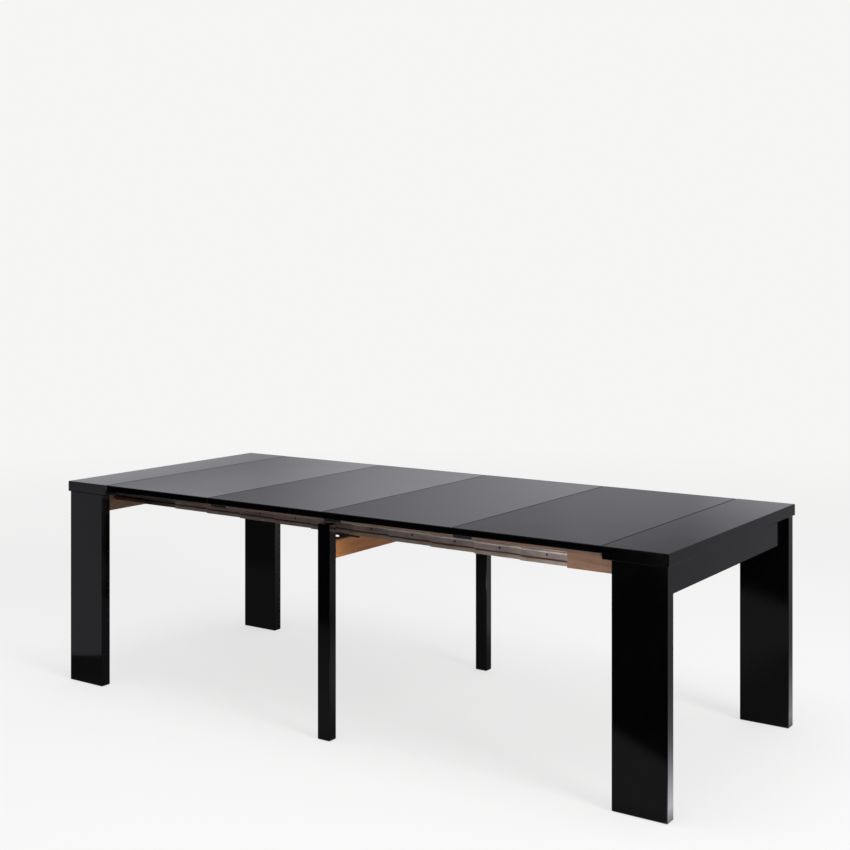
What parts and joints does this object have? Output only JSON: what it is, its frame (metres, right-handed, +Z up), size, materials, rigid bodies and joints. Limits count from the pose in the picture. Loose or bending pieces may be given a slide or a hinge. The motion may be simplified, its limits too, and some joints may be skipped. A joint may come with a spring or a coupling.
{
  "type": "extending console table",
  "caption": "Black lacquered console table on plank legs that draws out on telescopic rails into a long dining table, with loose leaves and a centre leg frame.",
  "frame": {"origin": "on the floor, under the middle of the drawn-out table", "axes": "+X along the extension towards the right end, +Y across to the far side, +Z up"},
  "size_m": [2.4438, 1.026, 0.75],
  "materials": {
    "black_lacquer": "gloss black lacquer on board",
    "black_batten": "satin black board",
    "bare_wood": "bare brown wood board",
    "beam_wood": "orange-brown varnished wood",
    "rail_aluminium": "mill-finish extrusion",
    "black_steel": "black painted steel",
    "glide_felt": "dark plastic glide"
  },
  "bodies": {
    "centre_frame": {"centre_corner_brackets": "black_steel", "centre_crossbeam": "beam_wood", "centre_leg_far": "black_lacquer", "centre_leg_glides": "glide_felt", "centre_leg_near": "black_lacquer", "centre_rail_foot_far": "black_steel", "centre_rail_foot_near": "black_steel", "rail_centre_far": "rail_aluminium", "rail_centre_near": "rail_aluminium"},
    "right_end": {"rail_right_end_far": "rail_aluminium", "rail_right_end_near": "rail_aluminium", "right_apron": "black_lacquer", "right_apron_backing": "bare_wood", "right_end_top": "black_lacquer", "right_leg_far": "black_lacquer", "right_leg_glides": "glide_felt", "right_leg_near": "black_lacquer", "right_rail_board_far": "bare_wood", "right_rail_board_near": "bare_wood"},
    "left_end": {"left_apron": "black_lacquer", "left_apron_backing": "bare_wood", "left_end_top": "black_lacquer", "left_leg_far": "black_lacquer", "left_leg_glides": "glide_felt", "left_leg_near": "black_lacquer", "left_rail_board_far": "bare_wood", "left_rail_board_near": "bare_wood", "rail_left_end_far": "rail_aluminium", "rail_left_end_near": "rail_aluminium"},
    "right_stage_1": {"rail_right_stage_1_far": "rail_aluminium", "rail_right_stage_1_near": "rail_aluminium"},
    "right_stage_2": {"rail_right_stage_2_far": "rail_aluminium", "rail_right_stage_2_near": "rail_aluminium"},
    "right_stage_3": {"rail_right_stage_3_far": "rail_aluminium", "rail_right_stage_3_near": "rail_aluminium"},
    "right_stage_4": {"rail_right_stage_4_far": "rail_aluminium", "rail_right_stage_4_near": "rail_aluminium"},
    "right_stage_5": {"rail_right_stage_5_far": "rail_aluminium", "rail_right_stage_5_near": "rail_aluminium"},
    "left_stage_1": {"rail_left_stage_1_far": "rail_aluminium", "rail_left_stage_1_near": "rail_aluminium"},
    "left_stage_2": {"rail_left_stage_2_far": "rail_aluminium", "rail_left_stage_2_near": "rail_aluminium"},
    "left_stage_3": {"rail_left_stage_3_far": "rail_aluminium", "rail_left_stage_3_near": "rail_aluminium"},
    "left_stage_4": {"rail_left_stage_4_far": "rail_aluminium", "rail_left_stage_4_near": "rail_aluminium"},
    "left_stage_5": {"rail_left_stage_5_far": "rail_aluminium", "rail_left_stage_5_near": "rail_aluminium"},
    "leaf_1": {"leaf_1_battens": "black_batten", "leaf_1_panel": "black_lacquer"},
    "leaf_2": {"leaf_2_battens": "black_batten", "leaf_2_panel": "black_lacquer"},
    "leaf_3": {"leaf_3_battens": "black_batten", "leaf_3_panel": "black_lacquer"},
    "leaf_4": {"leaf_4_battens": "black_batten", "leaf_4_panel": "black_lacquer"}
  },
  "joints": [
    {"name": "right_extension", "type": "slide", "parent": "centre_frame", "child": "right_end", "axis": [-1, 0, 0], "range_m": [0, 1.0156]},
    {"name": "left_extension", "type": "slide", "parent": "centre_frame", "child": "left_end", "axis": [1, 0, 0], "range_m": [0, 1.0156]},
    {"name": "right_stage_1_slide", "type": "slide", "parent": "centre_frame", "child": "right_stage_1", "axis": [-1, 0, 0], "range_m": [0, 0.16927]},
    {"name": "right_stage_2_slide", "type": "slide", "parent": "centre_frame", "child": "right_stage_2", "axis": [-1, 0, 0], "range_m": [0, 0.33853]},
    {"name": "right_stage_3_slide", "type": "slide", "parent": "centre_frame", "child": "right_stage_3", "axis": [-1, 0, 0], "range_m": [0, 0.5078]},
    {"name": "right_stage_4_slide", "type": "slide", "parent": "centre_frame", "child": "right_stage_4", "axis": [-1, 0, 0], "range_m": [0, 0.67707]},
    {"name": "right_stage_5_slide", "type": "slide", "parent": "centre_frame", "child": "right_stage_5", "axis": [-1, 0, 0], "range_m": [0, 0.84633]},
    {"name": "left_stage_1_slide", "type": "slide", "parent": "centre_frame", "child": "left_stage_1", "axis": [1, 0, 0], "range_m": [0, 0.16927]},
    {"name": "left_stage_2_slide", "type": "slide", "parent": "centre_frame", "child": "left_stage_2", "axis": [1, 0, 0], "range_m": [0, 0.33853]},
    {"name": "left_stage_3_slide", "type": "slide", "parent": "centre_frame", "child": "left_stage_3", "axis": [1, 0, 0], "range_m": [0, 0.5078]},
    {"name": "left_stage_4_slide", "type": "slide", "parent": "centre_frame", "child": "left_stage_4", "axis": [1, 0, 0], "range_m": [0, 0.67707]},
    {"name": "left_stage_5_slide", "type": "slide", "parent": "centre_frame", "child": "left_stage_5", "axis": [1, 0, 0], "range_m": [0, 0.84633]},
    {"name": "leaf_1_lift", "type": "slide", "parent": "centre_frame", "child": "leaf_1", "axis": [0, 0, 1], "range_m": [0, 0.55]},
    {"name": "leaf_2_lift", "type": "slide", "parent": "centre_frame", "child": "leaf_2", "axis": [0, 0, 1], "range_m": [0, 0.55]},
    {"name": "leaf_3_lift", "type": "slide", "parent": "centre_frame", "child": "leaf_3", "axis": [0, 0, 1], "range_m": [0, 0.55]},
    {"name": "leaf_4_lift", "type": "slide", "parent": "centre_frame", "child": "leaf_4", "axis": [0, 0, 1], "range_m": [0, 0.55]}
  ],
  "couplings": [
    {"joint": "right_stage_1_slide", "follows": "right_extension", "ratio": 0.16667},
    {"joint": "right_stage_2_slide", "follows": "right_extension", "ratio": 0.33333},
    {"joint": "right_stage_3_slide", "follows": "right_extension", "ratio": 0.5},
    {"joint": "right_stage_4_slide", "follows": "right_extension", "ratio": 0.66667},
    {"joint": "right_stage_5_slide", "follows": "right_extension", "ratio": 0.83333},
    {"joint": "left_stage_1_slide", "follows": "left_extension", "ratio": 0.16667},
    {"joint": "left_stage_2_slide", "follows": "left_extension", "ratio": 0.33333},
    {"joint": "left_stage_3_slide", "follows": "left_extension", "ratio": 0.5},
    {"joint": "left_stage_4_slide", "follows": "left_extension", "ratio": 0.66667},
    {"joint": "left_stage_5_slide", "follows": "left_extension", "ratio": 0.83333},
    {"joint": "leaf_1_lift", "follows": "left_extension", "ratio": 0.54155},
    {"joint": "leaf_2_lift", "follows": "left_extension", "ratio": 0.54155},
    {"joint": "leaf_3_lift", "follows": "right_extension", "ratio": 0.54155},
    {"joint": "leaf_4_lift", "follows": "right_extension", "ratio": 0.54155}
  ]
}
